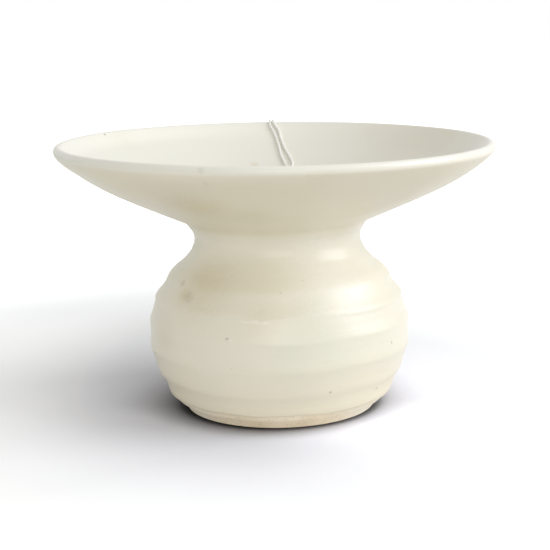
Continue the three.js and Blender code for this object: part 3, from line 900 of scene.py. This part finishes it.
# True for the rays that show the surroundings, whose light on the vase stays as it is
def seen_ray(tree):
    rays = add(tree, "ShaderNodeLightPath").outputs
    seen = rays["Is Camera Ray"]
    for kind in ("Is Glossy Ray", "Is Transmission Ray"):
        seen = add(tree, "ShaderNodeMath", {0: seen, 1: rays[kind]}, operation="MAXIMUM").outputs[0]
    return seen


OVERHANG = 0.09
SHADED_SIDE = (0.9, -0.35, 0.4)
SHADOW_CENTRE = (-0.2, 0.04, 0)
MOST_LIFT = 2.5
MOST_REFLECTED = 1.3
GREEN_TINT = 1.009


# White paper, matt; it fades to plain white away from the vase, and the vase's shadow is painted on it:
# painted shadow darkens it where the bulb overhangs it on the side away from the window, and painted light
# lifts it on the window's side
def white_paper():
    material, tree, place = new_material("matt_white_paper")
    away = add(tree, "ShaderNodeVectorMath", {0: place}, operation="LENGTH").outputs["Value"]
    across, deep, _ = add(tree, "ShaderNodeSeparateXYZ", {0: place}).outputs
    in_shadow = add(tree, "ShaderNodeVectorMath", {0: place, 1: SHADOW_CENTRE},
                    operation="DISTANCE").outputs["Value"]
    # What changes over the paper: what it is read from, where that starts and ends, and its value there
    fade = {}
    for name, measure, start, end, first, last in (
        ("set back", deep, -0.03, 0.25, -0.01, 0.1), ("left", across, -0.05, 0.05, 1.0, 0.0),
        ("near level", in_shadow, 0.08, 0.2, 1.32, 1.11), ("deepest", across, -0.1, 0.07, 0.66, 0.24),
        ("clear", deep, -0.05, -0.005, 0.58, 0.8), ("far bounce", across, -0.1, 0.2, 0.85, 0.46),
        ("blue", away, 0.08, 0.2, 1.09, 0.995),
    ):
        inputs = {0: measure, 1: start, 2: end, 3: first, 4: last}
        fade[name] = add(tree, "ShaderNodeMapRange", inputs).outputs[0]
    # The painted shadow falls to the left and back, so the paper's fade reaches further there
    set_back = add(tree, "ShaderNodeMath", {0: fade["set back"], 1: fade["left"]},
                   operation="MULTIPLY").outputs[0]
    reach = add(tree, "ShaderNodeMath", {0: away, 1: set_back}, operation="SUBTRACT").outputs[0]
    level = add(tree, "ShaderNodeMapRange", {0: reach, 1: 0.15, 2: 0.47, 3: fade["near level"], 4: 2.35},
                interpolation_type="SMOOTHSTEP").outputs[0]
    # Painted shadow: the paper darkens close to the vase, most on the left
    painted_shadow_dip = add(tree, "ShaderNodeMapRange", {0: reach, 1: 0.18, 2: 0.04, 4: fade["deepest"]},
              interpolation_type="SMOOTHSTEP").outputs[0]
    gain = add(tree, "ShaderNodeMath", {0: level, 1: painted_shadow_dip}, operation="SUBTRACT").outputs[0]
    # Painted contact shadow: darker where the bulb hides the sky on the side away from the window
    open_share = add(tree, "ShaderNodeAmbientOcclusion", {"Distance": OVERHANG, "Normal": SHADED_SIDE},
                     samples=16).outputs["AO"]
    painted_contact_shadow = add(tree, "ShaderNodeMapRange",
                  {0: open_share, 1: 0.2, 2: fade["clear"], 3: 0.02, 4: 1.0}).outputs[0]
    # Painted light: the paper's colour is lifted on the side that the window lights, to make up for the sky
    # that the bulb hides
    lit_side = add(tree, "ShaderNodeMapRange", {0: across, 1: -0.02, 2: 0.06, 3: 0.0, 4: -0.8},
                   interpolation_type="SMOOTHSTEP").outputs[0]
    lift = add(tree, "ShaderNodeAmbientOcclusion", {"Distance": OVERHANG}, samples=16).outputs["AO"]
    for operation, value in (("POWER", lit_side), ("MINIMUM", MOST_LIFT)):
        lift = add(tree, "ShaderNodeMath", {0: lift, 1: value}, operation=operation).outputs[0]
    shade = painted_contact_shadow
    for factor in (lift, gain):
        shade = add(tree, "ShaderNodeMath", {0: shade, 1: factor}, operation="MULTIPLY").outputs[0]
    bounce = add(tree, "ShaderNodeMapRange",
                 {0: away, 1: 0.1, 2: 0.25, 3: 0.95, 4: fade["far bounce"]}).outputs[0]
    # A reflection of the floor in the glaze is not much brighter than white
    at_camera = add(tree, "ShaderNodeLightPath").outputs["Is Camera Ray"]
    plain_shade = add(tree, "ShaderNodeMath", {0: shade, 1: MOST_REFLECTED}, operation="MINIMUM").outputs[0]
    for share, otherwise in ((at_camera, plain_shade), (seen_ray(tree), bounce)):
        shade = add(tree, "ShaderNodeMix", {"Factor": share, "A": otherwise, "B": shade},
                    data_type="FLOAT").outputs["Result"]
    # The cream glaze throws warm light on the paper close by, which its cool tint there makes up for
    green, blue = [
        add(tree, "ShaderNodeMath", {0: shade, 1: tint}, operation="MULTIPLY").outputs[0]
        for tint in (GREEN_TINT, fade["blue"])
    ]
    colour = add(tree, "ShaderNodeCombineColor", {0: shade, 1: green, 2: blue}).outputs[0]
    return end_material(material, "ShaderNodeBsdfDiffuse", {"Color": colour})


PAPER_HALF = 6.0
PAPER_LEVEL = -0.03 * MM
paper_mesh = bpy.data.meshes.new("paper_floor")
corners = [(x * PAPER_HALF, y * PAPER_HALF, PAPER_LEVEL) for x, y in ((-1, -1), (1, -1), (1, 1), (-1, 1))]
paper_mesh.from_pydata(corners, [], [(0, 1, 2, 3)])
paper_mesh.materials.append(white_paper())
floor = new_object("paper_floor", paper_mesh)

ROOM_LIGHT = 0.56
world = bpy.data.worlds.new("white_room")
bpy.context.scene.world = world
world.use_nodes = True
world.node_tree.nodes.clear()
room_strength = add(world.node_tree, "ShaderNodeMapRange",
                    {0: seen_ray(world.node_tree), 3: ROOM_LIGHT, 4: 1.0}).outputs[0]
room = add(world.node_tree, "ShaderNodeBackground", {"Color": (1, 1, 1, 1), "Strength": room_strength})
add(world.node_tree, "ShaderNodeOutputWorld", {"Surface": room.outputs[0]})

LIGHT_AIM = (0, 0, 0.08)


def area_light(name, place, size, power, colour):
    data = bpy.data.lights.new(name, "AREA")
    data.color = linear(colour)[:3]
    data.shape = "RECTANGLE"
    data.size, data.size_y = size
    data.energy = power
    lamp = new_object(name, data)
    lamp.location = place
    lamp.rotation_euler = (Vector(LIGHT_AIM) - Vector(place)).to_track_quat("-Z", "Y").to_euler()


area_light("window", place=(1.2, -0.16, 0.72), size=(0.9, 0.9), power=11.9, colour="#F7F9FF")
area_light("front_card", place=(0, -1.3, 0.42), size=(0.8, 0.5), power=3.2, colour="#FFFFFF")

CAMERA_DISTANCE = 0.750
CAMERA_HEIGHT = 0.22346
CAMERA_PITCH = 0.198916
CAMERA_ROLL = 0.021712
CAMERA_YAW = -0.002151
FOCAL_PIXELS = 1370.26
FRAME_PIXELS = 550
SENSOR_WIDTH = 36.0
camera_data = bpy.data.cameras.new("camera")
camera_data.sensor_width = SENSOR_WIDTH
camera_data.lens = FOCAL_PIXELS / FRAME_PIXELS * SENSOR_WIDTH
camera = new_object("camera", camera_data)
camera.matrix_world = (
    Matrix.Translation((0, -CAMERA_DISTANCE, CAMERA_HEIGHT))
    @ Matrix.Rotation(-CAMERA_YAW, 4, "Z")
    @ Matrix.Rotation(math.pi / 2 - CAMERA_PITCH, 4, "X")
    @ Matrix.Rotation(-CAMERA_ROLL, 4, "Z")
)
bpy.context.scene.camera = camera
bpy.context.scene.view_settings.view_transform = "Standard"
